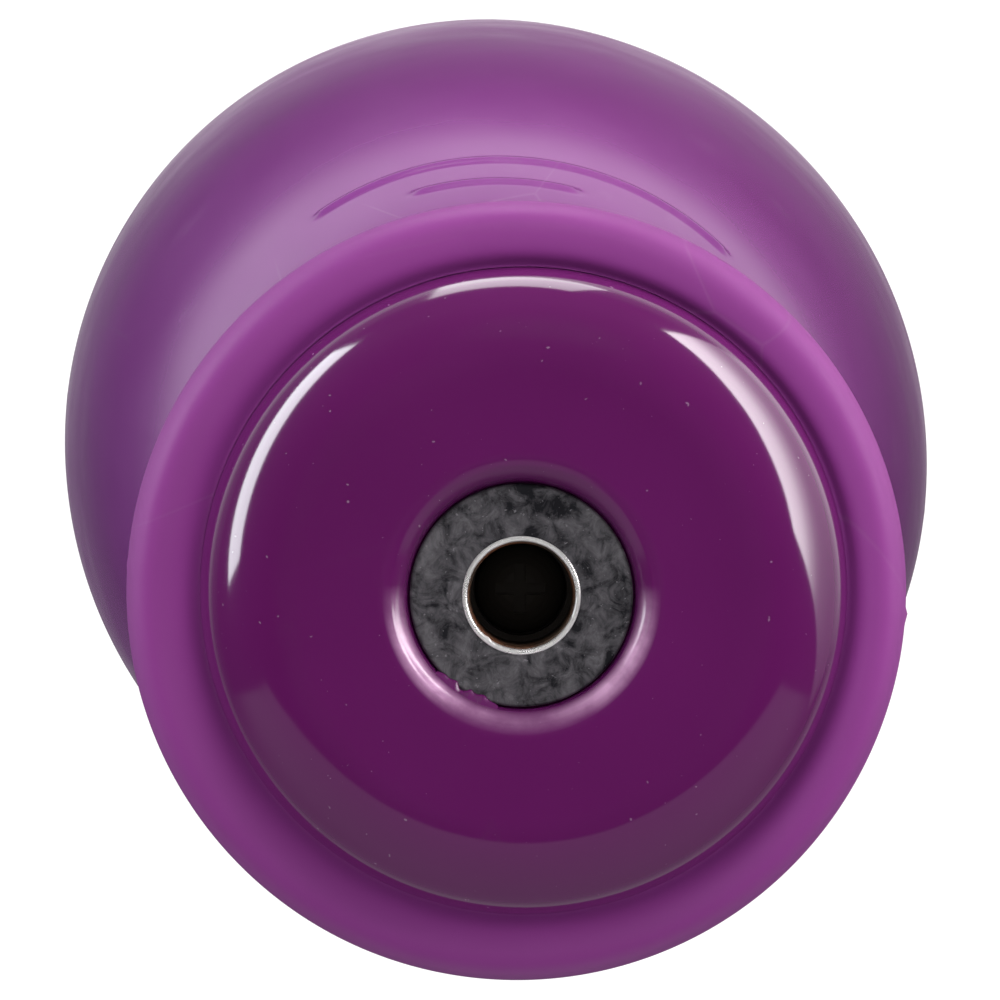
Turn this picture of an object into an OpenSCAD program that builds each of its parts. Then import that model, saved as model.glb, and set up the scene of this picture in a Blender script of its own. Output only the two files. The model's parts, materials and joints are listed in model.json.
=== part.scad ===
// Composite juggling club, standing on its crown with the knob at the top.
// +Z runs along the club's axis. The origin is the centre of the crown's flat resting face.
// Outlines are lists of [radius, depth], where depth is measured down from the knob's front face.

/* [Overall] */
// Length from the resting face to the knob's front face
club_length = 520; // [500:1:540]
// Largest diameter of the body
belly_d = 90.5; // [86:0.5:96]

/* [Knob] */
// Largest diameter of the knob
knob_d = 50; // [47:0.5:53]
// Diameter of the glossy face disc
face_d = 41.2; // [39:0.2:42]
// Radius of the face disc's rounded shoulder
face_shoulder = 6.4; // [4:0.2:7]
// Outside diameter of the steel washer in the face
washer_d = 14.1; // [13:0.1:15]
// Depth of the washer's face below the knob's front face
washer_depth = 1.4; // [1:0.1:2]
// Thickness of the washer
washer_t = 1.6; // [1:0.1:2]
// Diameter of the open bore in the ferrule
bore_d = 6.8; // [6.6:0.1:7]
// Depth of the open bore, from its chamfer to the floor over the screw
bore_length = 10; // [9:0.5:11]

/* [Handle] */
// Diameter of the wooden dowel
dowel_d = 16; // [15:0.5:17]
// Outside diameter of the handle next to the knob
grip_d = 26.8; // [26:0.2:28]
// Outside diameter of the handle at its waist
waist_d = 25.6; // [25:0.2:26.6]
// Outside diameter of the handle where it enters the body
neck_d = 34.4; // [33:0.2:35]
// Thickness of the handle's plastic sleeve
sleeve_t = 0.9; // [0.7:0.1:1.1]

/* [Body] */
// Wall thickness of the blown body
wall = 1.1; // [1:0.1:1.4]
// Radius of the flat resting ring on the crown cap
rest_r = 20; // [18:0.5:22]
// Radius of the recess in the crown cap
cap_recess_r = 9; // [8.6:0.1:9.6]

/* [Hidden] */
$fn = 96;

PURPLE = [0.50, 0.20, 0.52];
GLOSS_PURPLE = [0.36, 0.09, 0.33];
STEEL = [0.55, 0.55, 0.56];
gap = 0.05;             // clearance between pieces that are pushed or glued together
curve_steps = 14;       // straight steps along one curve of an outline
tack_fn = 24;

knob_r = knob_d / 2;
face_r = face_d / 2;
washer_r = washer_d / 2;
bore_r = bore_d / 2;
ferrule_r = bore_r + 0.28;
bore_chamfer = 0.27;
dowel_r = dowel_d / 2;
grip_r = grip_d / 2;
waist_r = waist_d / 2;
neck_r = neck_d / 2;
belly_r = belly_d / 2;

// Depths along the club
ferrule_top = washer_depth - 0.15;
bore_top = ferrule_top + bore_chamfer;
bore_floor = bore_top + bore_length;
head_seat = bore_floor + 2.3;
dowel_top = head_seat + 1.2;
face_seat = 11.5;            // floor of the pocket that holds the face disc
groove_depth = 7.8;          // bottom of the groove round the face disc
lip_depth = 6.9;             // foremost point of the knob's lip
knob_max_depth = 11.2;       // depth of the knob's largest diameter
sleeve_top = 24.5;
ring_bottom = 36;
skirt_end = 40;
neck_top = 188;              // mouth of the body
sleeve_bottom = 212;
flare_depth = 257;           // where the body's flare is steepest
belly_depth = club_length - 132;
seam_depth = club_length - 25;
crown_plate = club_length - 20;
cushion_t = 3;
dowel_bottom = club_length - 14;
cap_floor = club_length - 8;
crown_washer_t = 1.5;

// Points of a cubic curve from a to d, steered by b and c, without its last point
function curve(a, b, c, d, n = curve_steps) =
    [for (i = [0:n - 1]) let (s = i / n, u = 1 - s)
        u * u * u * a + 3 * u * u * s * b + 3 * u * s * s * c + s * s * s * d];
// Points of an arc about centre, from angle a0 to a1, both ends included
function arc(centre, r, a0, a1, n = curve_steps) =
    [for (i = [0:n]) let (a = a0 + (a1 - a0) * i / n) centre + r * [cos(a), sin(a)]];
function reversed(p) = [for (i = [len(p) - 1:-1:0]) p[i]];
// Unit normal of an outline at point i, pointing outwards where its depths increase
function normal_at(p, i) =
    let (d = p[min(i + 1, len(p) - 1)] - p[max(i - 1, 0)]) [d[1], -d[0]] / norm(d);
// The outline moved outwards by a distance
function beside(p, distance) = [for (i = [0:len(p) - 1]) p[i] + distance * normal_at(p, i)];
// Radius at a depth along an outline whose depths increase
function radius_at(p, depth) = lookup(depth, [for (q = p) [q[1], q[0]]]);

// Outer outline of the handle's sleeve, from the knob to its end inside the body
sleeve_outline = concat(
    [[grip_r, sleeve_top]],
    curve([grip_r, skirt_end + 2], [grip_r, 52], [waist_r, 54], [waist_r, 68]),
    curve([waist_r, 68], [waist_r, 105], [neck_r - 2.6, 145], [neck_r - 0.4, neck_top - 4]),
    [[neck_r, neck_top], [neck_r, sleeve_bottom]]
);
sleeve_inside = [for (q = sleeve_outline) [q[0] - sleeve_t, q[1]]];

// Outer outline of the body, from its mouth to the seam with the crown cap
neck_lip_r = neck_r + gap + wall;
flare_r = belly_r * 2 / 3;
seam_r = belly_r * 0.64;
body_outline = concat(
    curve([neck_lip_r, neck_top], [neck_lip_r + 0.3, 200], [neck_lip_r + 0.4, 208], [neck_lip_r + 1, 216], 3),
    curve([neck_lip_r + 1, 216], [neck_lip_r + 2.2, 232], [flare_r - 4.7, flare_depth - 11],
          [flare_r, flare_depth], 7),
    curve([flare_r, flare_depth], [flare_r + 10.4, flare_depth + 24.5], [belly_r, belly_depth - 54],
          [belly_r, belly_depth], 11),
    curve([belly_r, belly_depth], [belly_r, belly_depth + 42], [belly_r * 0.86, seam_depth - 25],
          [seam_r, seam_depth], 9),
    [[seam_r, seam_depth]]
);

// Turns a [radius, depth] outline about the club's axis
module turned(outline) {
    rotate_extrude() polygon([for (q = outline) [q[0], club_length - q[1]]]);
}

// A bored ring between two depths
module ring(outer_r, inner_r, top, bottom) {
    turned([[inner_r, top], [outer_r, top], [outer_r, bottom], [inner_r, bottom]]);
}

// A wood screw with its head's bearing face at depth seat; away is +1 if its tip is deeper than its head
module wood_screw(seat, length, head_r, head_t, shank_r, away = 1) {
    pitch = 1.8;
    tip = 4;
    turns = floor((length - tip - 4) / pitch);
    thread = [for (i = [0:turns - 1], e = [0:2])
        [e == 1 ? shank_r : shank_r * 0.72, seat + away * (4 + (i + e * 0.3) * pitch)]];
    dome = [for (q = arc([0, 0], 1, 0, 90, 8)) [head_r * q[0], seat - away * (0.5 + (head_t - 0.5) * q[1])]];
    difference() {
        turned(concat(
            reversed(dome), [[head_r, seat], [shank_r * 0.95, seat], [shank_r * 0.95, seat + away * 4]],
            thread, [[shank_r * 0.72, seat + away * (length - tip)], [0, seat + away * length]]
        ));
        translate([0, 0, club_length - seat + away * head_t])
            for (turn = [0, 90]) rotate(turn) cube([head_r * 1.1, head_r * 0.26, head_t * 0.9], center = true);
    }
}

// Tacks with flush heads, driven in towards the axis
module tacks(count, depth, surface_r, length, head_r = 2, head_t = 0.4) {
    for (i = [0:count - 1]) rotate(i * 360 / count + 45)
        translate([surface_r, 0, club_length - depth]) rotate([0, -90, 0]) {
            cylinder(h = head_t, r = head_r, $fn = tack_fn);
            cylinder(h = length, r = 0.6, $fn = tack_fn);
        }
}

// Holes for those tacks
module tack_holes(count, depth, surface_r, length) {
    for (i = [0:count - 1]) rotate(i * 360 / count + 45)
        translate([surface_r, 0, club_length - depth]) rotate([0, -90, 0]) {
            translate([0, 0, -1]) cylinder(h = 1.45, r = 2.05, $fn = tack_fn);
            cylinder(h = length + 0.2, r = 0.63, $fn = tack_fn);
        }
}

grip_tack_depth = 30;
grip_tack_length = 4;
neck_tack_depth = 204;
neck_tack_length = 6;
neck_tack_r = radius_at(body_outline, neck_tack_depth);

// Soft satin knob: a groove and a lip round the face disc, a rounded flank and a skirt over the handle
module knob_shell() {
    lip_r = knob_r - 2.1;
    color(PURPLE) turned(concat(
        [[ferrule_r + gap, dowel_top], [ferrule_r + gap, face_seat], [face_r + gap, face_seat]],
        curve([face_r + gap, groove_depth], [face_r + 0.5, groove_depth], [lip_r - 1.5, lip_depth],
              [lip_r, lip_depth], 8),
        curve([lip_r, lip_depth], [knob_r - 0.6, lip_depth], [knob_r, 8.4], [knob_r, knob_max_depth]),
        curve([knob_r, knob_max_depth], [knob_r, 15.6], [knob_r * 0.87, 19.5], [knob_r * 0.76, 24]),
        curve([knob_r * 0.76, 24], [knob_r * 0.66, 28.3], [grip_r + 1.2, 33], [grip_r + 1.1, skirt_end - 0.6]),
        [[grip_r + 0.7, skirt_end], [grip_r + gap, skirt_end], [grip_r + gap, sleeve_top - gap],
         [dowel_r + gap, sleeve_top - gap], [dowel_r + gap, dowel_top]]
    ));
}

// Glossy hard disc that fills the front of the knob, with a rounded recess for the washer
module knob_face() {
    lip = 1.9;
    pocket_r = washer_r + 0.12;
    color(GLOSS_PURPLE) turned(concat(
        [[ferrule_r + gap, face_seat - gap], [ferrule_r + gap, washer_depth + washer_t],
         [pocket_r, washer_depth + washer_t]],
        arc([pocket_r + lip, lip], lip, 180, 270, 8),
        arc([face_r - face_shoulder, face_shoulder], face_shoulder, -90, 0),
        [[face_r, face_seat - gap]]
    ));
}

module knob_washer() {
    edge = 0.2;
    bottom = washer_depth + washer_t - gap;
    color(STEEL) turned([
        [ferrule_r + gap, washer_depth], [washer_r - edge, washer_depth], [washer_r, washer_depth + edge],
        [washer_r, bottom], [ferrule_r + gap, bottom]
    ]);
}

// Steel cup that lines the hole: an open bore at the front and a seat for the screw's head below it
module knob_ferrule() {
    head_room_r = 3;
    shank_hole_r = 2.05;
    color(STEEL) turned([
        [bore_r + bore_chamfer, ferrule_top], [ferrule_r, ferrule_top + 0.02], [ferrule_r, dowel_top - gap],
        [shank_hole_r, dowel_top - gap], [shank_hole_r, head_seat], [head_room_r, head_seat],
        [head_room_r, bore_floor], [bore_r, bore_floor], [bore_r, bore_top]
    ]);
}

module knob_screw() {
    color(STEEL) wood_screw(seat = head_seat, length = 34, head_r = 2.9, head_t = 2.1, shank_r = 2);
}

// Turned wooden rod that carries both ends of the club
module dowel() {
    bevel = 0.8;
    pilot_r = 2.05;
    color("burlywood") difference() {
        turned([
            [0, dowel_top], [dowel_r - bevel, dowel_top], [dowel_r, dowel_top + bevel],
            [dowel_r, dowel_bottom - bevel], [dowel_r - bevel, dowel_bottom], [0, dowel_bottom]
        ]);
        translate([0, 0, club_length - dowel_top - 34]) cylinder(h = 35, r = pilot_r);
        translate([0, 0, club_length - dowel_bottom - 1]) cylinder(h = 29, r = pilot_r);
    }
}

// Ring that fills the handle under the knob's skirt
module grip_end_ring() {
    color("ivory") difference() {
        ring(grip_r - sleeve_t - gap, dowel_r + gap, sleeve_top, ring_bottom);
        tack_holes(4, grip_tack_depth, grip_r, grip_tack_length);
    }
}

module grip_tacks() {
    color(STEEL) tacks(4, grip_tack_depth, grip_r, grip_tack_length);
}

// Foam under the sleeve
module handle_foam() {
    top = ring_bottom + gap;
    bottom = neck_top + 2 - gap;
    between = [for (q = sleeve_inside) if (q[1] > top + 1 && q[1] < bottom - 1) q - [gap, 0]];
    color("whitesmoke") turned(concat(
        [[dowel_r + gap, bottom], [dowel_r + gap, top], [radius_at(sleeve_inside, top) - gap, top]],
        between, [[radius_at(sleeve_inside, bottom) - gap, bottom]]
    ));
}

// Plastic sleeve wrapped round the foam, held at its ends by tacks
module handle_sleeve() {
    color("white") difference() {
        turned(concat(sleeve_outline, reversed(sleeve_inside)));
        tack_holes(4, grip_tack_depth, grip_r, grip_tack_length);
        tack_holes(3, neck_tack_depth, neck_tack_r, neck_tack_length);
    }
}

// Plug that centres the dowel in the body's neck
module neck_bushing() {
    color("ivory") difference() {
        ring(neck_r - sleeve_t - gap, dowel_r + gap, neck_top + 2, sleeve_bottom);
        tack_holes(3, neck_tack_depth, neck_tack_r, neck_tack_length);
    }
}

module neck_tacks() {
    color(STEEL) tacks(3, neck_tack_depth, neck_tack_r, neck_tack_length);
}

// Vinyl tape over the joint between the handle and the body
module neck_tape() {
    tape_t = 0.35;
    tape_start = neck_top - 10;
    tape_end = neck_top + 24;
    inner = concat(
        [for (d = [tape_start, tape_start + 6]) [radius_at(sleeve_outline, d) + gap, d]],
        [[neck_lip_r + gap, neck_top - gap]],
        [for (d = [neck_top + 4:4:tape_end]) [radius_at(body_outline, d) + gap, d]]
    );
    color([0.93, 0.93, 0.95]) turned(concat(reversed(inner), beside(inner, tape_t)));
}

// Blown hollow body: a flared neck, a belly and a flat crown with a hole for the dowel
module body_shell() {
    skin = [for (i = [0:2:len(body_outline) - 1]) if (body_outline[i][1] > sleeve_bottom) body_outline[i]];
    inner_skin = [for (q = beside(skin, -wall)) if (q[1] < seam_depth) q];
    color(PURPLE) difference() {
        turned(concat(
            [[neck_r + gap, neck_top]], body_outline,
            [[seam_r - 1.6, seam_depth + 0.1], [seam_r - 3, crown_plate], [dowel_r + gap, crown_plate],
             [dowel_r + gap, crown_plate - wall], [seam_r - 3 - wall, crown_plate - wall]],
            reversed(inner_skin), [[neck_r + gap, sleeve_bottom + 0.5]]
        ));
        tack_holes(3, neck_tack_depth, neck_tack_r, neck_tack_length);
    }
}

// Flanged hub inside the crown
module crown_bushing() {
    color("ivory") turned([
        [dowel_r + gap, crown_plate - wall - gap], [20, crown_plate - wall - gap], [20, crown_plate - wall - 4],
        [dowel_r + 4, crown_plate - wall - 6], [dowel_r + 4, crown_plate - 18], [dowel_r + gap, crown_plate - 18]
    ]);
}

// Foam ring that takes the shock when the club lands on its crown
module crown_cushion() {
    color("whitesmoke")
        ring(seam_r - 6, dowel_r + gap, crown_plate + gap, crown_plate + cushion_t - gap);
}

// Soft end cap with a flat resting ring and a recess for its screw
module crown_cap() {
    lip = 1.2;
    hole_r = 2.2;
    under = crown_plate + cushion_t;
    color(PURPLE) turned(concat(
        [[hole_r, cap_floor], [cap_recess_r, cap_floor], [cap_recess_r, club_length - lip]],
        reversed(arc([cap_recess_r + lip, club_length - lip], lip, 90, 180, 6)),
        curve([rest_r, club_length], [seam_r - 2, club_length], [seam_r - 1.9, seam_depth + 4.5],
              [seam_r, seam_depth + gap]),
        [[seam_r, seam_depth + gap], [seam_r - 1.5, seam_depth + 0.2], [seam_r - 2.9, crown_plate + gap],
         [seam_r - 5.9, crown_plate + gap], [seam_r - 5.9, under], [dowel_r + gap, under],
         [dowel_r + gap, dowel_bottom + gap], [hole_r, dowel_bottom + gap]]
    ));
}

module crown_washer() {
    color(STEEL) ring(cap_recess_r - 0.8, 2.2, cap_floor + gap, cap_floor + crown_washer_t);
}

module crown_screw() {
    color(STEEL) wood_screw(seat = cap_floor + crown_washer_t + gap, length = 32, head_r = 4, head_t = 2.8,
                            shank_r = 2, away = -1);
}

knob_shell();
knob_face();
knob_washer();
knob_ferrule();
knob_screw();
dowel();
grip_end_ring();
grip_tacks();
handle_foam();
handle_sleeve();
neck_bushing();
neck_tacks();
neck_tape();
body_shell();
crown_bushing();
crown_cushion();
crown_cap();
crown_washer();
crown_screw();
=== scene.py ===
"""Looks of a juggling club that stands on its crown, with the knob on top and its axis on +Z."""

import json
import math

import bpy
from mathutils import Matrix, Vector, noise

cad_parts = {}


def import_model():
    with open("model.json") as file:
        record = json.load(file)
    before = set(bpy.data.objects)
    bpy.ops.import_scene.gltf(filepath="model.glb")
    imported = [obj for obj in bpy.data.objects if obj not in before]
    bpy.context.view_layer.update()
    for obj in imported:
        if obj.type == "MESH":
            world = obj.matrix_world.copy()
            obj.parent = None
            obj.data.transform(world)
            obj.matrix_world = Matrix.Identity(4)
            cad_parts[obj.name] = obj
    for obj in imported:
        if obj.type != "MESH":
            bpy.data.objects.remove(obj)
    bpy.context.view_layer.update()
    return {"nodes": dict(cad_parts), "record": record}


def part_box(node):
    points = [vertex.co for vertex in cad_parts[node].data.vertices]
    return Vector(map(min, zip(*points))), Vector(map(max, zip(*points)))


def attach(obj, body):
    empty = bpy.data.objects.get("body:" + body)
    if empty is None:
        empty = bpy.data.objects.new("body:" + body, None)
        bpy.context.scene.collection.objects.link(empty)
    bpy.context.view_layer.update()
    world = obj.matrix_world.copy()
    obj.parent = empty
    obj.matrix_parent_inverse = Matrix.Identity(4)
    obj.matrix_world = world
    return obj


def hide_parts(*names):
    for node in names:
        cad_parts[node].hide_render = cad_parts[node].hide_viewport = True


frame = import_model()

MM = 0.001
TURN = 2 * math.pi
SEGMENTS = 288


# ---------------------------------------------------------------- sizes, from the frame, in millimetres

def node_top(node):
    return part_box(node)[1].z / MM


def node_bottom(node):
    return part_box(node)[0].z / MM


def node_radius(node):
    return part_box(node)[1].x / MM


def mount_radius(name):
    mounts = frame["record"]["mounts"]
    return next(m["dims"]["r_mm"] for m in mounts if m["name"] == name)


TOP = node_top("knob_face")
FACE_R = node_radius("knob_face")
KNOB_R = node_radius("knob_shell")
WASHER_R = node_radius("knob_washer")
FERRULE_R = node_radius("knob_ferrule")
BORE_R = mount_radius("knob_bore")
GRIP_R = node_radius("handle_sleeve")
BELLY_R = node_radius("body_shell")
CROWN_R = node_radius("crown_cap")
KNOB_MAX_DEPTH = 11.2
GROOVE_DEPTH = 7.8
LIP_R = KNOB_R - 2.1
WALL = 1.1

# the knob is pushed on by hand: (x, y) by which its disc, its flank and the groove's slope sit off the axis
FACE_OFFSET = (0.18, 0.06)
FLANK_OFFSET = (-0.26, -0.11)
SLOPE_OFFSET = (-0.12, -0.19)


# --------------------------------------------------------------- outlines: lists of (radius, depth under TOP)

def curve(a, b, c, d, n=24):
    """Points of a cubic curve from a to d, steered by b and c, without its last point."""
    points = []
    for i in range(n):
        s = i / n
        u = 1 - s
        w = (u * u * u, 3 * u * u * s, 3 * u * s * s, s * s * s)
        points.append(tuple(sum(w[k] * p[j] for k, p in enumerate((a, b, c, d))) for j in (0, 1)))
    return points


def arc(centre, radius, start, end, n=16):
    """Points of an arc between two angles in degrees, both ends included."""
    angles = [math.radians(start + (end - start) * i / n) for i in range(n + 1)]
    return [(centre[0] + radius * math.cos(a), centre[1] + radius * math.sin(a)) for a in angles]


def radius_at(outline, depth):
    """Radius of an outline whose depths increase, at one depth."""
    for (r0, d0), (r1, d1) in zip(outline, outline[1:]):
        if d0 <= depth <= d1 and d1 > d0:
            return r0 + (r1 - r0) * (depth - d0) / (d1 - d0)
    return outline[-1][0] if depth > outline[-1][1] else outline[0][0]


# ---------------------------------------------------------------- meshes

def ring_angle(k, segments=SEGMENTS):
    return TURN * k / segments


def angle_gap(a, b):
    """Distance between two directions round the axis, in radians, from 0 to pi."""
    return abs((a - b + math.pi) % TURN - math.pi)


def off_centre(a, offset):
    return offset[0] * math.cos(a) + offset[1] * math.sin(a)


def ease(x):
    """A smooth step from 0 to 1 while x goes from 0 to 1."""
    t = min(max(x, 0), 1)
    return t * t * (3 - 2 * t)


def bump_shape(x, width):
    """A smooth bump of height 1 at x = 0 that ends at x = width."""
    t = min(abs(x) / width, 1)
    return (1 - t * t) ** 2


def lathe(name, outline, material, shift=None, segments=SEGMENTS, crease=32):
    """A closed solid turned about the club's axis. shift(r, depth, angle) moves a point outwards and down."""
    vertices = []
    for r, depth in outline:
        for k in range(segments):
            a = ring_angle(k, segments)
            dr, dd = shift(r, depth, a) if shift else (0, 0)
            q = r + dr
            vertices.append((q * math.cos(a) * MM, q * math.sin(a) * MM, (TOP - depth - dd) * MM))
    faces = []
    rows = len(outline)
    for i in range(rows):
        j = (i + 1) % rows
        for k in range(segments):
            m = (k + 1) % segments
            faces.append((i * segments + k, i * segments + m, j * segments + m, j * segments + k))
    return new_piece(name, vertices, faces, material, crease)


def new_piece(name, vertices, faces, material, crease=32):
    mesh = bpy.data.meshes.new(name)
    mesh.from_pydata(vertices, [], faces)
    mesh.validate()
    turn_outwards(mesh)
    mesh.shade_smooth()
    mesh.set_sharp_from_angle(angle=math.radians(crease))
    piece = bpy.data.objects.new(name, mesh)
    bpy.context.scene.collection.objects.link(piece)
    mesh.materials.append(material)
    return piece


def turn_outwards(mesh):
    """Flips every face if the closed mesh has a negative volume."""
    volume = 0
    for face in mesh.polygons:
        corners = [mesh.vertices[v].co for v in face.vertices]
        for b, c in zip(corners[1:], corners[2:]):
            volume += corners[0].dot(b.cross(c))
    if volume < 0:
        mesh.flip_normals()


def wander(r, depth, a, size, seed):
    """Smooth noise over a turned surface, from about -1 to 1."""
    place = Vector((r * math.cos(a), r * math.sin(a), depth)) / size
    return noise.noise(place + Vector((seed, seed * 0.7, -seed)))


def add(piece, slot, *nodes):
    """The piece rides on the club and stands for the nodes. The slot is not used."""
    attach(piece, "root")
    if nodes:
        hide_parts(*nodes)
    return piece


# ---------------------------------------------------------------- materials

class Nodes:
    """Short calls to build one material's nodes."""

    def __init__(self, name):
        self.material = bpy.data.materials.new(name)
        self.material.use_nodes = True
        self.tree = self.material.node_tree
        self.shader = self.tree.nodes["Principled BSDF"]
        self.place = self.tree.nodes.new("ShaderNodeTexCoord").outputs["Object"]

    def node(self, kind, **inputs):
        made = self.tree.nodes.new(kind)
        for key, value in inputs.items():
            self.put(made, key, value)
        return made

    def put(self, made, key, value):
        """Sets or links a socket, named with _ for each space, or by its number after a _."""
        number = key[1:] if key[0] == "_" and key[1:].isdigit() else None
        socket = made.inputs[int(number) if number else key.replace("_", " ")]
        if isinstance(value, bpy.types.NodeSocket):
            self.tree.links.new(value, socket)
        else:
            socket.default_value = value

    def set(self, **inputs):
        for key, value in inputs.items():
            self.put(self.shader, key, value)

    def stretched(self, x, y, z):
        return self.node("ShaderNodeMapping", Vector=self.place, Scale=(x, y, z)).outputs["Vector"]

    def noise(self, scale, detail=4, rough=0.55, vector=None, distortion=0.0):
        made = self.node("ShaderNodeTexNoise", Scale=scale, Detail=detail, Roughness=rough,
                         Distortion=distortion, Vector=vector or self.place)
        return made.outputs["Fac"]

    def ramp(self, fac, *stops):
        made = self.node("ShaderNodeValToRGB", Fac=fac)
        ramp = made.color_ramp
        while len(ramp.elements) < len(stops):
            ramp.elements.new(0.5)
        for element, (place, value) in zip(ramp.elements, stops):
            element.position = place
            element.color = (value, value, value, 1) if isinstance(value, (int, float)) else (*value, 1)
        return made.outputs["Color"]

    def math(self, operation, a, b=0.0):
        made = self.tree.nodes.new("ShaderNodeMath")
        made.operation = operation
        self.put(made, "_0", a)
        self.put(made, "_1", b)
        return made.outputs[0]

    def mix(self, fac, a, b):
        made = self.tree.nodes.new("ShaderNodeMix")
        made.data_type = "RGBA"
        for key, value in (("_0", fac), ("_6", a), ("_7", b)):
            single = isinstance(value, (bpy.types.NodeSocket, float, int))
            self.put(made, key, value if single else (*value, 1))
        return made.outputs[2]

    def spread(self, fac, low, high, from_low=0.3, from_high=0.7):
        made = self.node("ShaderNodeMapRange", Value=fac, From_Min=from_low, From_Max=from_high,
                         To_Min=low, To_Max=high)
        return made.outputs["Result"]

    def radius(self):
        """Distance from the club's axis, in metres."""
        flat = self.node("ShaderNodeVectorMath", _0=self.place, _1=(1, 1, 0))
        flat.operation = "MULTIPLY"
        length = self.node("ShaderNodeVectorMath", _0=flat.outputs["Vector"])
        length.operation = "LENGTH"
        return length.outputs["Value"]

    def bump(self, height, distance_mm, strength=1.0, normal=None):
        made = self.node("ShaderNodeBump", Height=height, Distance=distance_mm * MM, Strength=strength)
        if normal is not None:
            self.put(made, "Normal", normal)
        return made.outputs["Normal"]

    def scratches(self, scale, width, vector=None):
        """Thin wandering lines: 1 on a scratch, 0 elsewhere."""
        made = self.node("ShaderNodeTexVoronoi", Scale=scale, Vector=vector or self.place)
        made.feature = "DISTANCE_TO_EDGE"
        line = self.ramp(made.outputs["Distance"], (0.0, 1.0), (width, 0.0))
        broken = self.ramp(self.noise(scale * 0.35, 2), (0.55, 0.0), (0.62, 1.0))
        return self.math("MULTIPLY", line, broken)


def shade(colour, factor):
    return tuple(min(1.0, c * factor) for c in colour)


def gloss_plastic(name, colour):
    """Polished moulded plastic with faint flow marks, scratches and dust.

    It is duller round the recess in its middle, and the recess's edge carries a pale painted highlight on the
    -Y side."""
    n = Nodes(name)
    flow = n.noise(28, 3, vector=n.stretched(1, 1, 0.3))
    tone = n.mix(n.spread(flow, 0.0, 1.0), shade(colour, 0.9), shade(colour, 1.12))
    marks = n.scratches(85, 0.006, n.stretched(1, 0.22, 1))
    dust = n.ramp(n.noise(2600, 1), (0.765, 0.0), (0.80, 1.0))
    radius = n.radius()
    y = n.node("ShaderNodeSeparateXYZ", Vector=n.place).outputs["Y"]
    # painted highlight: a pale, patchy crescent painted on the recess's edge on the -Y side, in place of a
    # reflection
    edge = n.math("MULTIPLY", n.spread(radius, 0.0, 1.0, (WASHER_R + 0.25) * MM, (WASHER_R + 0.7) * MM),
                  n.spread(radius, 1.0, 0.0, (WASHER_R + 0.95) * MM, (WASHER_R + 1.75) * MM))
    side = n.math("MULTIPLY", n.spread(y, 1.0, 0.0, -0.5 * WASHER_R * MM, 0.1 * WASHER_R * MM),
                  n.spread(y, 0.25, 1.0, -1.1 * WASHER_R * MM, -0.8 * WASHER_R * MM))
    cloudy = n.spread(n.noise(420, 4), 0.55, 1.0, 0.35, 0.6)
    pale_wear_and_painted_highlight = n.math("MULTIPLY", n.math("MULTIPLY", edge, side), cloudy)
    dusty = n.mix(n.math("MULTIPLY", dust, 0.14), tone, (0.55, 0.45, 0.55))
    n.set(Base_Color=n.mix(pale_wear_and_painted_highlight, dusty, (0.37, 0.21, 0.335)))
    smear = n.spread(n.noise(60, 5), 0.08, 0.12)
    recess = n.spread(radius, 0.16, 0.0, WASHER_R * MM, (WASHER_R + 2.1) * MM)
    n.set(Roughness=n.math("ADD", n.math("ADD", smear, recess), n.math("MULTIPLY", marks, 0.12)))
    n.set(Normal=n.bump(n.math("SUBTRACT", n.noise(140, 3), n.math("MULTIPLY", marks, 0.15)), 0.01, 0.35))
    n.set(IOR=1.49)
    return n.material


def satin_plastic(name, colour, grain=900, rough=(0.40, 0.52), scuff=0.25, ior=1.47, texture=0.22):
    """Satin moulded plastic: fine grain, cloudy tone, pale scuffs and small nicks."""
    n = Nodes(name)
    cloud = n.noise(22, 4)
    tone = n.mix(n.spread(cloud, 0.0, 1.0), shade(colour, 0.9), shade(colour, 1.1))
    marks = n.scratches(60, 0.008, n.stretched(1, 1, 0.35))
    pale_wear_and_painted_highlight = n.math("MULTIPLY", n.ramp(n.noise(48, 6, 0.65), (0.60, 0.0), (0.74, 1.0)), scuff)
    pale = tuple(c * 0.6 + 0.28 for c in colour)
    worn = n.mix(n.math("MAXIMUM", pale_wear_and_painted_highlight, n.math("MULTIPLY", marks, scuff)), tone, pale)
    n.set(Base_Color=worn)
    n.set(Roughness=n.math("ADD", n.spread(n.noise(75, 5), *rough), n.math("MULTIPLY", pale_wear_and_painted_highlight, 0.2)))
    fine = n.bump(n.noise(grain, 3, 0.6), 0.03, texture)
    dents = n.math("SUBTRACT", n.noise(70, 3), n.math("MULTIPLY", marks, 0.25))
    n.set(Normal=n.bump(dents, 0.05, 0.35, fine))
    n.set(IOR=ior)
    return n.material


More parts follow.
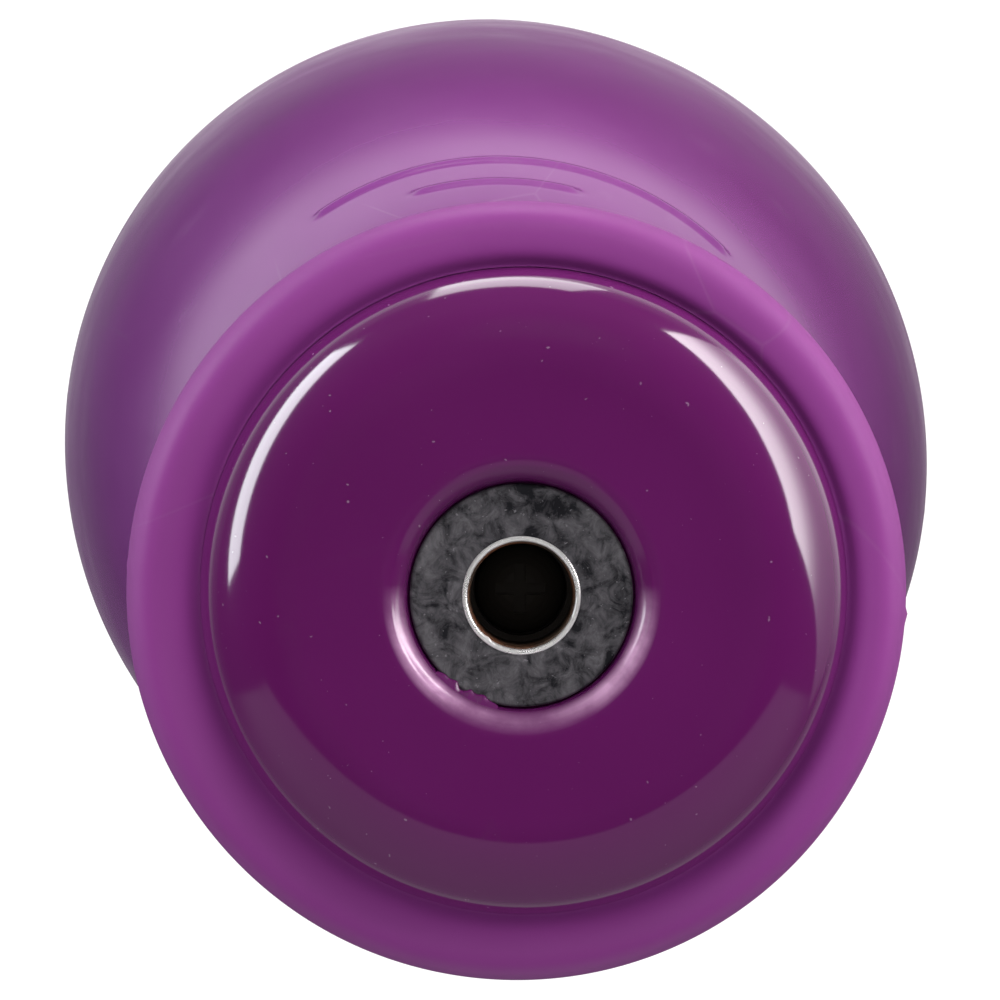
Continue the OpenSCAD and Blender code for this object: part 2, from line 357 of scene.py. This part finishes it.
def worn_steel(name, dark, light, rough=(0.30, 0.55), metal=1.0, patch=420, brown=0.0, painted_shade_below=None):
    """Plated steel, mottled by handling, with bright specks.

    brown is the strength of its rust; below the depth given last, in mm, it is painted nearly black, as
    painted shade deep in the bore."""
    n = Nodes(name)
    patches = n.noise(patch, 6, 0.68, distortion=0.6)
    streaks = n.noise(patch * 0.9, 5, 0.6, vector=n.stretched(1, 0.35, 1))
    blend = n.math("ADD", n.math("MULTIPLY", patches, 0.65), n.math("MULTIPLY", streaks, 0.35))
    tone = n.mix(n.ramp(blend, (0.40, 0.0), (0.60, 1.0)), dark, light)
    specks = n.ramp(n.noise(patch * 5, 2), (0.68, 0.0), (0.74, 1.0))
    tone = n.mix(n.math("MULTIPLY", specks, 0.6), tone, shade(light, 1.8))
    if brown:
        rust = n.ramp(n.noise(patch * 0.6, 4), (0.50, 0.0), (0.66, brown))
        tone = n.mix(rust, tone, (0.11, 0.035, 0.012))
    if painted_shade_below:
        # painted shade: the colour fades to near black towards the bottom of the bore
        height = n.node("ShaderNodeSeparateXYZ", Vector=n.place).outputs["Z"]
        bottom = (TOP - painted_shade_below) * MM
        tone = n.mix(n.spread(height, 1.0, 0.0, bottom, bottom + 2 * MM), tone, (0.016, 0.013, 0.011))
    n.set(Base_Color=tone, Metallic=metal)
    n.set(Roughness=n.spread(patches, rough[1], rough[0]))
    n.set(Normal=n.bump(n.math("ADD", patches, n.scratches(patch * 0.8, 0.02)), 0.02, 0.5))
    return n.material


def turned_wood(name, colour):
    n = Nodes(name)
    rings = n.noise(60, 8, 0.6, vector=n.stretched(3, 3, 0.12), distortion=1.2)
    pores = n.ramp(n.noise(900, 3, vector=n.stretched(1, 1, 0.06)), (0.62, 0.0), (0.70, 1.0))
    tone = n.mix(n.spread(rings, 0.0, 1.0, 0.35, 0.65), shade(colour, 0.7), shade(colour, 1.15))
    n.set(Base_Color=n.mix(n.math("MULTIPLY", pores, 0.6), tone, shade(colour, 0.35)))
    n.set(Roughness=n.spread(rings, 0.55, 0.7), Normal=n.bump(rings, 0.08, 0.5))
    return n.material


def cell_foam(name, colour):
    n = Nodes(name)
    cells = n.node("ShaderNodeTexVoronoi", Scale=900.0, Vector=n.place).outputs["Distance"]
    n.set(Base_Color=n.mix(cells, shade(colour, 0.75), shade(colour, 1.05)))
    n.set(Roughness=n.spread(n.noise(200), 0.8, 0.95), Normal=n.bump(cells, 0.25, 0.7))
    return n.material


def film(name, colour, rough=(0.22, 0.34), grain=260):
    """Thin white plastic film: faint embossed grain, long soft ripples, grip marks and light soiling."""
    n = Nodes(name)
    soil = n.ramp(n.noise(26, 6, 0.62, vector=n.stretched(1, 1, 0.5)), (0.52, 0.0), (0.80, 1.0))
    marks = n.scratches(70, 0.007, n.stretched(1, 1, 0.3))
    dirty = n.math("ADD", n.math("MULTIPLY", soil, 0.22), n.math("MULTIPLY", marks, 0.25))
    n.set(Base_Color=n.mix(dirty, colour, (0.24, 0.20, 0.19)))
    n.set(Roughness=n.math("ADD", n.spread(n.noise(90, 4), *rough), n.math("MULTIPLY", soil, 0.15)))
    ripple = n.noise(60, 2, vector=n.stretched(1, 1, 0.15))
    fine = n.bump(n.noise(grain * 4, 3, 0.6), 0.03, 0.25)
    n.set(Normal=n.bump(ripple, 0.12, 0.25, fine), IOR=1.48)
    return n.material


PURPLE = (0.124, 0.0185, 0.122)
BODY_PURPLE = (0.108, 0.0208, 0.118)
# the face is the knob's own purple painted darker, as painted shade against the light that falls on it
FACE_PURPLE_WITH_PAINTED_SHADE = (0.055, 0.0039, 0.048)

MATERIALS = {
    "face_gloss": gloss_plastic("face_gloss", FACE_PURPLE_WITH_PAINTED_SHADE),
    "knob_satin": satin_plastic("knob_satin", PURPLE, rough=(0.52, 0.62), scuff=0.04, ior=1.30),
    "zinc": worn_steel("zinc", (0.016, 0.0155, 0.019), (0.17, 0.16, 0.175), metal=0.75, patch=760),
    "bright_steel": worn_steel("bright_steel", (0.70, 0.69, 0.68), (0.92, 0.91, 0.90), rough=(0.22, 0.36),
                               metal=0.75),
    "bore_steel": worn_steel("bore_steel", (0.02, 0.013, 0.009), (0.08, 0.052, 0.036), rough=(0.4, 0.6),
                             metal=0.5, brown=0.8, painted_shade_below=6),
    "birch": turned_wood("birch", (0.63, 0.45, 0.26)),
    "bushing_plastic": satin_plastic("bushing_plastic", (0.76, 0.74, 0.66)),
    "foam": cell_foam("foam", (0.84, 0.83, 0.79)),
    "sleeve_white": film("sleeve_white", (0.34, 0.34, 0.35)),
    "tape": film("tape", (0.37, 0.37, 0.39), rough=(0.14, 0.24)),
    "body_purple": satin_plastic("body_purple", BODY_PURPLE, grain=520, rough=(0.19, 0.26), scuff=0.06,
                                 texture=0.1),
    "cap_purple": satin_plastic("cap_purple", shade(BODY_PURPLE, 0.95), grain=700, rough=(0.5, 0.62)),
}


# ---------------------------------------------------------------- knob

def knob_face():
    """Glossy disc: rounded recess for the washer, an almost flat face and a rounded shoulder."""
    lip = 1.9
    shoulder = 6.4
    pocket = WASHER_R + 0.12
    pocket_floor = TOP - node_bottom("knob_washer") + 0.05
    back = TOP - node_bottom("knob_face")
    inner = FERRULE_R + 0.05
    bead_r = pocket + lip * 0.58
    outline = [(inner, back), (inner, pocket_floor)]
    outline += [(pocket - 0.3, pocket_floor), (pocket, pocket_floor - 0.1)]
    outline += arc((pocket + lip, lip), lip, 180, 270, 44)
    flat_from, flat_to = pocket + lip, FACE_R - shoulder
    outline += [(flat_from + (flat_to - flat_from) * i / 8, 0.0) for i in range(1, 8)]
    outline += arc((FACE_R - shoulder, shoulder), shoulder, -90, 0, 48)
    outline += [(FACE_R, back - 0.3), (FACE_R - 0.3, back)]

    def shift(r, depth, a):
        out = off_centre(a, FACE_OFFSET) * ease((r - 12) / 5)
        if depth > back - 0.5 or r < pocket + 0.02:
            return out, 0
        ripple = 0.010 * wander(r, depth, a, 7.0, 3.1) + 0.003 * wander(r, depth, a, 2.2, 8.4)
        uneven = 0.05 * bump_shape(r - pocket - 0.6, 1.2) * wander(r, 0, a, 3.0, 5.5)
        below = 0.25 + 0.75 * ease(0.5 - math.sin(a) * 0.8)
        bead = 0.05 * bump_shape(r - bead_r, 0.22) * below
        return out - uneven, abs(ripple) - bead

    add(lathe("knob_face_disc", outline, MATERIALS["face_gloss"], shift), "face_gloss", "knob_face")


def moulding_flash():
    """Thin ragged tongue of the face's plastic that laps over the washer's edge."""
    washer_face = TOP - node_top("knob_washer")
    start, end = math.radians(222), math.radians(258)
    steps = 40
    vertices = []
    for i in range(steps + 1):
        s = i / steps
        a = start + (end - start) * s
        ragged = 0.5 + 0.5 * noise.noise(Vector((s * 7.3, 4.2, 0.0)))
        notch = 1 - 0.85 * bump_shape(s - 0.44, 0.13)
        reach = (0.12 + 0.50 * ragged) * math.sin(math.pi * s) ** 0.6 * notch
        outer, inner = WASHER_R + 0.35, WASHER_R + 0.06 - reach
        for r, lift in ((outer, -0.05), (outer, 0.34), (inner + 0.12, 0.20), (inner, 0.05), (inner, -0.02)):
            vertices.append((r * math.cos(a) * MM, r * math.sin(a) * MM, (TOP - washer_face + lift) * MM))
    row = 5
    faces = [tuple(range(row)), tuple(steps * row + k for k in reversed(range(row)))]
    for i in range(steps):
        for k in range(row):
            m = (k + 1) % row
            faces.append((i * row + k, (i + 1) * row + k, (i + 1) * row + m, i * row + m))
    add(new_piece("face_moulding_flash", vertices, faces, MATERIALS["face_gloss"], 50), "face_gloss")


def knob_shell():
    """Satin outer knob: a lip round the disc, a full rounded flank and a skirt over the handle."""
    lip_depth = TOP - node_top("knob_shell")
    skirt = TOP - node_bottom("knob_shell")
    seat = TOP - node_bottom("knob_face") + 0.05
    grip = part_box("grip_end_ring")[1].x / MM + 0.95
    gap = 0.05
    wall = FACE_R + gap
    outline = [(FERRULE_R + gap, seat + 3), (FERRULE_R + gap, seat), (wall, seat)]
    outline += curve((wall, GROOVE_DEPTH), (FACE_R + 0.5, GROOVE_DEPTH), (LIP_R - 1.5, lip_depth),
                     (LIP_R, lip_depth))
    outline += curve((LIP_R, lip_depth), (KNOB_R - 0.6, lip_depth), (KNOB_R, 8.4), (KNOB_R, KNOB_MAX_DEPTH))
    neck_r, neck = KNOB_R * 0.76, 24
    outline += curve((KNOB_R, KNOB_MAX_DEPTH), (KNOB_R, 15.6), (KNOB_R * 0.87, 19.5), (neck_r, neck))
    outline += curve((neck_r, neck), (KNOB_R * 0.66, 28.3), (grip + 1.2, 33), (grip + 1.1, skirt - 0.6), 20)
    outline += [(grip + 1.05, skirt - 0.35), (grip + 0.9, skirt - 0.1), (grip + 0.7, skirt)]
    outline += [(grip + gap, skirt)]
    outline += [(grip + gap, 24.5), (8.1, 24.5), (8.1, seat + 3)]
    seam = math.radians(-4)

    def shift(r, depth, a):
        if r < 15 or r < grip + 0.3:
            return 0, 0
        outer = ease((r - FACE_R) / (LIP_R - FACE_R)) if depth < KNOB_MAX_DEPTH else 1
        out = (1 - outer) * off_centre(a, FACE_OFFSET)
        out += outer * off_centre(a, FLANK_OFFSET) * ease((36 - depth) / 12)
        if depth < KNOB_MAX_DEPTH:
            out += off_centre(a, SLOPE_OFFSET) * bump_shape(r - 22, 1.4)
        line = max(bump_shape(angle_gap(a, way) * r, 0.35) for way in (seam, seam + math.pi))
        nub = bump_shape(angle_gap(a, seam) * r, 0.9) * bump_shape(depth - 12.5, 1.8)
        moulded = 0.03 * wander(r, depth, a, 16, 1.7) + 0.04 * line + 0.26 * nub
        return out + moulded * outer, 0

    add(lathe("knob_outer", outline, MATERIALS["knob_satin"], shift), "knob_satin", "knob_shell")


def knob_washer():
    """Flat washer with a rolled outer edge."""
    face = TOP - node_top("knob_washer")
    back = TOP - node_bottom("knob_washer")
    inner = FERRULE_R + 0.05
    outline = [(inner, back), (inner, face + 0.03), (inner + 0.05, face)]
    outline += [(inner + 0.05 + (WASHER_R - 0.4 - inner) * i / 6, face) for i in range(1, 6)]
    outline += arc((WASHER_R - 0.25, face + 0.25), 0.25, -90, 0, 8) + [(WASHER_R, back)]

    def shift(r, depth, a):
        return 0, 0.012 * abs(wander(r, 0, a, 1.4, 2.2)) if depth < face + 0.01 else 0

    add(lathe("knob_steel_washer", outline, MATERIALS["zinc"], shift), "zinc", "knob_washer")


def knob_ferrule():
    """Steel cup: a bright rolled rim and, below it, a dull wall with a ledge over the screw."""
    top = TOP - node_top("knob_ferrule")
    bottom = TOP - node_bottom("knob_ferrule")
    ledge = top + 0.27 + 10
    crest, half, high = BORE_R + 0.19, 0.19, 0.24
    rim = [(BORE_R, top + 0.5)]
    for i in range(14):
        roll = math.radians(180 * i / 16)
        rim.append((crest - half * math.cos(roll), top + high - high * math.sin(roll)))
    rim += [(FERRULE_R, top + 0.3), (FERRULE_R, top + 0.6), (BORE_R, top + 0.6)]
    screw_hole, head_room = 2.05, 3.0
    wall = [(BORE_R, top + 0.6), (FERRULE_R, top + 0.6), (FERRULE_R, bottom), (screw_hole, bottom),
            (screw_hole, bottom - 1.2), (head_room, bottom - 1.2), (head_room, ledge), (BORE_R, ledge)]
    # grime narrows the bore under its rim
    wall += curve((BORE_R, ledge - 1), (BORE_R - 0.1, ledge - 6), (BORE_R - 0.2, top + 2),
                  (BORE_R - 0.16, top + 0.9), 12)
    wall += [(BORE_R - 0.1, top + 0.65)]

    def burr(r, depth, a):
        nick = bump_shape(angle_gap(a, math.radians(232)), 0.10)
        nick -= 0.7 * bump_shape(angle_gap(a, math.radians(243)), 0.07)
        near_top = bump_shape(depth - top - 0.1, 0.4)
        rough = 0.018 * wander(r, 0, a, 0.7, 6.1)
        return (-0.07 * nick + rough) * near_top if r < crest else 0, 0

    add(lathe("ferrule_rim", rim, MATERIALS["bright_steel"], burr), "bright_steel", "knob_ferrule")
    add(lathe("ferrule_wall", wall, MATERIALS["bore_steel"]), "bright_steel")


knob_face()
moulding_flash()
knob_shell()
knob_washer()
knob_ferrule()


# ---------------------------------------------------------------- handle

NECK_TOP = TOP - node_top("body_shell")
SLEEVE_TOP = TOP - node_top("handle_sleeve")
SLEEVE_BOTTOM = TOP - node_bottom("handle_sleeve")
NECK_R = GRIP_R
GRIP_TOP_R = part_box("grip_end_ring")[1].x / MM + 0.95
WAIST_R = mount_radius("hand_grip")

# where the body ends at the crown's cap, and the plate that closes it
SEAM_R = BELLY_R * 0.64
SEAM = TOP - 25
PLATE = TOP - 20


def sleeve_outline():
    return (
        [(GRIP_TOP_R, SLEEVE_TOP)]
        + curve((GRIP_TOP_R, 42), (GRIP_TOP_R, 52), (WAIST_R, 54), (WAIST_R, 68))
        + curve((WAIST_R, 68), (WAIST_R, 105), (NECK_R - 2.6, 145), (NECK_R - 0.4, NECK_TOP - 4), 40)
        + [(NECK_R, NECK_TOP), (NECK_R, SLEEVE_BOTTOM)]
    )


def handle_sleeve():
    """White wrap whose edge overlaps in a seam down the length, with shallow ripples."""
    outer = sleeve_outline()
    thickness = 0.9
    inner = [(r - thickness, depth) for r, depth in reversed(outer)]
    seam = math.radians(100)

    def shift(r, depth, a):
        if r < radius_at(outer, depth) - 0.3 or depth < 41 or depth > NECK_TOP - 10:
            return 0, 0
        fade = min((depth - 41) / 4, 1) * min((NECK_TOP - 10 - depth) / 6, 1)
        past = (a - seam) % TURN
        overlap = 0.32 * (1 if past < 0.02 else max(0.0, 1 - past / 0.55)) * (past < 0.55)
        ripple = 0.05 * wander(r * 1.6, depth * 0.12, a, 5.0, 9.3)
        return (overlap + ripple - 0.05) * fade, 0

    wrap = lathe("handle_wrap", outer + inner, MATERIALS["sleeve_white"], shift)
    add(wrap, "sleeve_white", "handle_sleeve")


def body_outline():
    lip = NECK_R + 0.05 + WALL
    belly = TOP - 132
    flare_r, flare = BELLY_R * 2 / 3, 257
    return (
        curve((lip, NECK_TOP), (lip + 0.3, 200), (lip + 0.4, 208), (lip + 1, 216), 8)
        + curve((lip + 1, 216), (lip + 2.2, 232), (flare_r - 4.7, flare - 11), (flare_r, flare), 120)
        + curve((flare_r, flare), (flare_r + 10.4, flare + 24.5), (BELLY_R, belly - 54), (BELLY_R, belly), 90)
        + curve((BELLY_R, belly), (BELLY_R, belly + 42), (BELLY_R * 0.86, SEAM - 25), (SEAM_R, SEAM), 48)
        + [(SEAM_R, SEAM)]
    )


def neck_tape():
    """Vinyl tape wound over the joint, a little thicker where its end laps over itself."""
    tape = 0.35
    gap = 0.05
    lip = NECK_R + 0.05 + WALL
    start, end = NECK_TOP - 10, NECK_TOP + 24
    handle, body = sleeve_outline(), body_outline()
    inner = [(radius_at(handle, start + i) + gap, start + i) for i in range(0, 9)]
    inner += curve((radius_at(handle, start + 9) + gap, start + 9), (lip - 1, NECK_TOP - 1),
                   (lip + gap, NECK_TOP - 0.6), (lip + gap, NECK_TOP + 1), 8)
    depths = [NECK_TOP + 1 + (end - NECK_TOP - 1) * i / 24 for i in range(25)]
    inner += [(radius_at(body, d) + gap, d) for d in depths]
    outer = [(r + tape, depth) for r, depth in inner]
    lap = math.radians(215)

    def shift(r, depth, a):
        if r < radius_at(inner, depth) + 0.1:
            return 0, 0
        past = (a - lap) % TURN
        over = 0.22 * (1 - past / 0.6) if past < 0.6 else 0
        return over + 0.04 * wander(r, depth, a, 4.0, 7.7), 0

    add(lathe("neck_tape_wrap", list(reversed(inner)) + outer, MATERIALS["tape"], shift), "tape", "neck_tape")


handle_sleeve()
neck_tape()


# ---------------------------------------------------------------- body and crown

PARTING_LINES = (math.radians(172), math.radians(-8))


def body_shell():
    """Blown body: parting lines down two sides, slightly wavy walls, two plain raised arcs on the flare."""
    outer = body_outline()
    inner = []
    for (r0, d0), (r1, d1) in zip(outer, outer[1:]):
        if d0 > SLEEVE_BOTTOM:
            along = Vector((r1 - r0, d1 - d0)).normalized()
            inner.append((r0 - WALL * along.y, d0 + WALL * along.x))
    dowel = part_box("dowel")[1].x / MM + 0.05
    outline = [(NECK_R + 0.05, NECK_TOP)] + outer
    outline += [(SEAM_R - 1.6, SEAM + 0.1), (SEAM_R - 3, PLATE), (dowel, PLATE), (dowel, PLATE - WALL),
                (SEAM_R - 3 - WALL, PLATE - WALL)]
    outline += [q for q in reversed(inner) if q[1] < SEAM] + [(NECK_R + 0.05, SLEEVE_BOTTOM + 0.5)]
    arcs = ((250.5, math.radians(74), math.radians(108)), (255.5, math.radians(44), math.radians(126)))

    def shift(r, depth, a):
        if depth < NECK_TOP + 26 or depth > SEAM - 0.5 or r < radius_at(outer, depth) - 0.3:
            return 0, 0
        fade = min((depth - NECK_TOP - 26) / 5, (SEAM - depth) / 5, 1)
        line = max(bump_shape(angle_gap(a, p) * r, 0.5) for p in PARTING_LINES)
        mark = 0
        for d, start, end in arcs:
            inside = ease((a - start) * r / 1.5) * ease((end - a) * r / 1.5)
            mark = max(mark, 0.30 * bump_shape(depth - d, 0.8) * inside)
        wavy = -0.06 + 0.10 * wander(r, depth * 0.5, a, 26, 4.4)
        oval = 0.48 * math.cos(2 * (a - math.radians(135)))
        oval *= ease((depth - 240) / 60) * ease((SEAM - depth) / 60)
        return (wavy + 0.10 * line + mark) * fade + oval, 0

    body = lathe("body_blown_shell", outline, MATERIALS["body_purple"], shift, crease=40)
    add(body, "body_purple", "body_shell")


def crown_cap():
    """Soft end cap: flat resting ring, recess for its screw and a fine groove round its side."""
    lip = 1.2
    rest_r = 20
    recess = 9
    floor = TOP - 8
    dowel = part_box("dowel")[1].x / MM + 0.05
    side = curve((rest_r, TOP), (CROWN_R - 2, TOP), (CROWN_R - 1.9, SEAM + 4.5), (CROWN_R, SEAM + 0.05), 40)
    outline = [(2.2, floor), (recess, floor), (recess, TOP - lip)]
    outline += list(reversed(arc((recess + lip, TOP - lip), lip, 90, 180, 8)))
    outline += [(recess + lip + (rest_r - recess - lip) * i / 4, TOP) for i in range(1, 4)] + side
    outline += [(CROWN_R, SEAM + 0.05), (CROWN_R - 1.5, SEAM + 0.2), (CROWN_R - 2.9, PLATE + 0.05),
                (CROWN_R - 5.9, PLATE + 0.05), (CROWN_R - 5.9, PLATE + 3), (dowel, PLATE + 3),
                (dowel, TOP - 13.95), (2.2, TOP - 13.95)]

    def shift(r, depth, a):
        if depth > TOP - 1.5 or depth < SEAM + 1 or r < radius_at(list(reversed(side)), depth) - 0.3:
            return 0, 0
        groove = bump_shape(depth - (TOP - 17), 0.7)
        line = max(bump_shape(angle_gap(a, p) * r, 0.4) for p in PARTING_LINES)
        return -0.35 * groove + 0.06 * line - 0.06, 0

    add(lathe("crown_soft_cap", outline, MATERIALS["cap_purple"], shift), "cap_purple", "crown_cap")


body_shell()
crown_cap()


# ---------------------------------------------------------------- pieces that keep their CAD shape

for entry in frame["record"]["subparts"]:
    if entry["node"] not in ("knob_shell", "knob_face", "knob_washer", "knob_ferrule", "handle_sleeve",
                             "neck_tape", "body_shell", "crown_cap"):
        for place in frame["nodes"][entry["node"]].material_slots:
            # the knob's screw sits at the bottom of the bore and has the same rust and painted shade
            finish = "bore_steel" if entry["node"] == "knob_screw" else entry["material_slot"]
            place.material = MATERIALS[finish]


# ---------------------------------------------------------------- floor, light and camera

def floor():
    """Plain pale sheet just under the club. From below it is clear, so the club's underside can be seen."""
    size = 14
    height = -0.1 * MM
    mesh = bpy.data.meshes.new("floor")
    corners = [(-size, -size, height), (size, -size, height), (size, size, height), (-size, size, height)]
    mesh.from_pydata(corners, [], [(0, 1, 2, 3)])
    sheet = bpy.data.objects.new("floor", mesh)
    bpy.context.scene.collection.objects.link(sheet)
    n = Nodes("floor")
    n.set(Base_Color=(0.12, 0.12, 0.12, 1), Roughness=0.9)
    n.set(Emission_Color=(1, 1, 1, 1), Emission_Strength=0.92)
    clear = n.tree.nodes.new("ShaderNodeBsdfTransparent")
    mixed = n.node("ShaderNodeMixShader", _0=n.tree.nodes.new("ShaderNodeNewGeometry").outputs["Backfacing"])
    n.tree.links.new(n.shader.outputs["BSDF"], mixed.inputs[1])
    n.tree.links.new(clear.outputs["BSDF"], mixed.inputs[2])
    n.tree.links.new(mixed.outputs["Shader"], n.tree.nodes["Material Output"].inputs["Surface"])
    mesh.materials.append(n.material)
    sheet.visible_glossy = False


def panel(name, place, aim, width, height, radiance, fade=None, colour=(1, 1, 1), glossy=True):
    """A soft rectangular light. fade is its brightness from its lower edge, 0, to its upper edge, 1."""
    light = bpy.data.lights.new(name, "AREA")
    light.shape = "RECTANGLE"
    light.size = width
    light.size_y = height
    light.energy = radiance * math.pi * width * height
    light.color = colour
    if fade:
        light.use_nodes = True
        tree = light.node_tree
        split = tree.nodes.new("ShaderNodeSeparateXYZ")
        tree.links.new(tree.nodes.new("ShaderNodeNewGeometry").outputs["Parametric"], split.inputs[0])
        ramp = ramp_node(tree, split.outputs["Y"], fade)
        tree.links.new(ramp, tree.nodes["Emission"].inputs["Strength"])
    lamp = bpy.data.objects.new(name, light)
    bpy.context.scene.collection.objects.link(lamp)
    lamp.location = place
    lamp.rotation_euler = (Vector(aim) - Vector(place)).to_track_quat("-Z", "Y").to_euler()
    lamp.visible_camera = False
    lamp.visible_glossy = glossy
    return lamp


def ramp_node(tree, value, stops):
    """Colour ramp through grey stops (place, brightness)."""
    made = tree.nodes.new("ShaderNodeValToRGB")
    tree.links.new(value, made.inputs["Fac"])
    while len(made.color_ramp.elements) < len(stops):
        made.color_ramp.elements.new(0.5)
    for element, (place, level) in zip(made.color_ramp.elements, stops):
        element.position = place
        element.color = (level, level, level, 1)
    return made.outputs["Color"]


def direction(azimuth, elevation):
    a, e = math.radians(azimuth), math.radians(elevation)
    return Vector((math.cos(a) * math.cos(e), math.sin(a) * math.cos(e), math.sin(e)))


def strip(name, start, end, width, radiance, knob, distance, fade=None, colour=(1, 1, 1)):
    """A straight strip light between two directions from the knob, each (azimuth, elevation) in degrees."""
    ends = [knob + distance * direction(*way) for way in (start, end)]
    middle = (ends[0] + ends[1]) / 2
    along = ends[1] - ends[0]
    lamp = panel(name, middle, knob, along.length, width, radiance, fade, colour)
    back = (middle - knob).normalized()
    x = along.normalized()
    z = (back - x * back.dot(x)).normalized()
    lamp.rotation_euler = Matrix((x, z.cross(x), z)).transposed().to_euler()
    return lamp


def world():
    """Dark overhead and dim round the horizon, bright below it and most of all on the +Y side.

    The camera sees a plain pale backdrop."""
    made = bpy.data.worlds.new("studio")
    bpy.context.scene.world = made
    made.use_nodes = True
    tree = made.node_tree
    split = tree.nodes.new("ShaderNodeSeparateXYZ")
    tree.links.new(tree.nodes.new("ShaderNodeTexCoord").outputs["Generated"], split.inputs[0])
    level = tree.nodes.new("ShaderNodeMapRange")
    level.inputs["From Min"].default_value = -1
    level.inputs["From Max"].default_value = 1
    tree.links.new(split.outputs["Z"], level.inputs["Value"])
    heights = ((-1.0, 2.2), (-0.995, 1.0), (-0.985, 0.32), (-0.965, 0.08), (-0.93, 0.02), (-0.86, 0.03),
               (-0.81, 0.16), (-0.76, 0.9), (-0.70, 1.6), (-0.62, 1.2), (-0.52, 0.4), (-0.3, 0.12),
               (0.1, 0.2), (0.45, 0.12), (1.0, 0.02))
    ramp = ramp_node(tree, level.outputs["Result"], [((z + 1) / 2, value) for z, value in heights])
    side = tree.nodes.new("ShaderNodeMapRange")
    for socket, value in (("From Min", -0.18), ("From Max", 0.25), ("To Min", 0.3), ("To Max", 1.0)):
        side.inputs[socket].default_value = value
    tree.links.new(split.outputs["Y"], side.inputs["Value"])
    dimmed = tree.nodes.new("ShaderNodeVectorMath")
    dimmed.operation = "SCALE"
    tree.links.new(ramp, dimmed.inputs[0])
    tree.links.new(side.outputs["Result"], dimmed.inputs["Scale"])
    seen = tree.nodes.new("ShaderNodeMix")
    seen.data_type = "RGBA"
    tree.links.new(tree.nodes.new("ShaderNodeLightPath").outputs["Is Camera Ray"], seen.inputs[0])
    tree.links.new(dimmed.outputs["Vector"], seen.inputs[6])
    seen.inputs[7].default_value = (0.93, 0.93, 0.935, 1)
    tree.links.new(seen.outputs[2], tree.nodes["Background"].inputs["Color"])


def camera(knob):
    """A long lens over the knob, tilted a little off the club's axis, so the body shows above the knob."""
    distance = 0.560
    tilt = math.radians(2.41)
    lens_in_frames = 8.725
    lean = math.radians(100.1)
    knob_in_frame = (0.0203, -0.0890)
    towards = Vector((math.cos(lean), math.sin(lean), 0))
    back = Vector((0, 0, math.cos(tilt))) + towards * math.sin(tilt)
    data = bpy.data.cameras.new("camera")
    data.sensor_width = 36
    data.lens = data.sensor_width * lens_in_frames
    data.clip_start = 0.01
    data.clip_end = 100
    cam = bpy.data.objects.new("camera", data)
    bpy.context.scene.collection.objects.link(cam)
    up = (Vector((0, 1, 0)) - back * back.y).normalized()
    right = up.cross(back)
    axis = -back - right * knob_in_frame[0] / lens_in_frames - up * knob_in_frame[1] / lens_in_frames
    axis.normalize()
    z = -axis
    x = up.cross(z).normalized()
    turn = Matrix((x, z.cross(x), z)).transposed()
    cam.matrix_world = Matrix.Translation(knob + back * distance) @ turn.to_4x4()
    bpy.context.scene.camera = cam


KNOB = Vector((0, 0, (TOP - KNOB_MAX_DEPTH) * MM))
floor()
world()
camera(KNOB)
strip("left_strip", (178, 8), (127, -12), 0.115, 14, KNOB, 0.45, colour=(0.93, 0.97, 1.0))
strip("right_box", (-7.5, 4.5), (50.5, -28.5), 0.50, 16, KNOB, 0.45, colour=(1.0, 0.95, 0.97),
      fade=((0.0, 0.015), (0.28, 0.05), (0.49, 0.10), (0.58, 0.17), (0.68, 0.36), (0.80, 0.73), (0.95, 1.0)))
strip("top_strip", (77, -23.5), (107, -30), 0.15, 5.2, KNOB, 0.45)
panel("low_card", (0, -0.5, KNOB.z + 0.13), (0, 0, KNOB.z + 0.13), 2.5, 1.46, 0.5,
      fade=((0.0, 0.08), (0.12, 0.2), (0.25, 0.45), (0.45, 0.85), (0.6, 1.0), (1.0, 1.0)))
panel("near_top", (0.02, 0.16, KNOB.z + 0.14), KNOB, 0.10, 0.10, 10, glossy=False)
panel("side_fill", (0.13, 0.40, 0.18), (0, 0, 0.16), 0.3, 0.3, 9, colour=(1.0, 0.96, 0.86), glossy=False)
panel("left_fill", (-0.42, 0.05, 0.18), (0, 0, 0.16), 0.3, 0.3, 3.2, colour=(0.86, 0.94, 1.0), glossy=False)
panel("front_fill", (0.1, -0.6, 0.25), (0, 0, 0.2), 0.4, 0.4, 2.5, glossy=False)
panel("overhead", (0, 0, 2.6), (0, 0, 0), 2.2, 2.2, 4.2, glossy=False)
bpy.context.scene.view_settings.view_transform = "Standard"
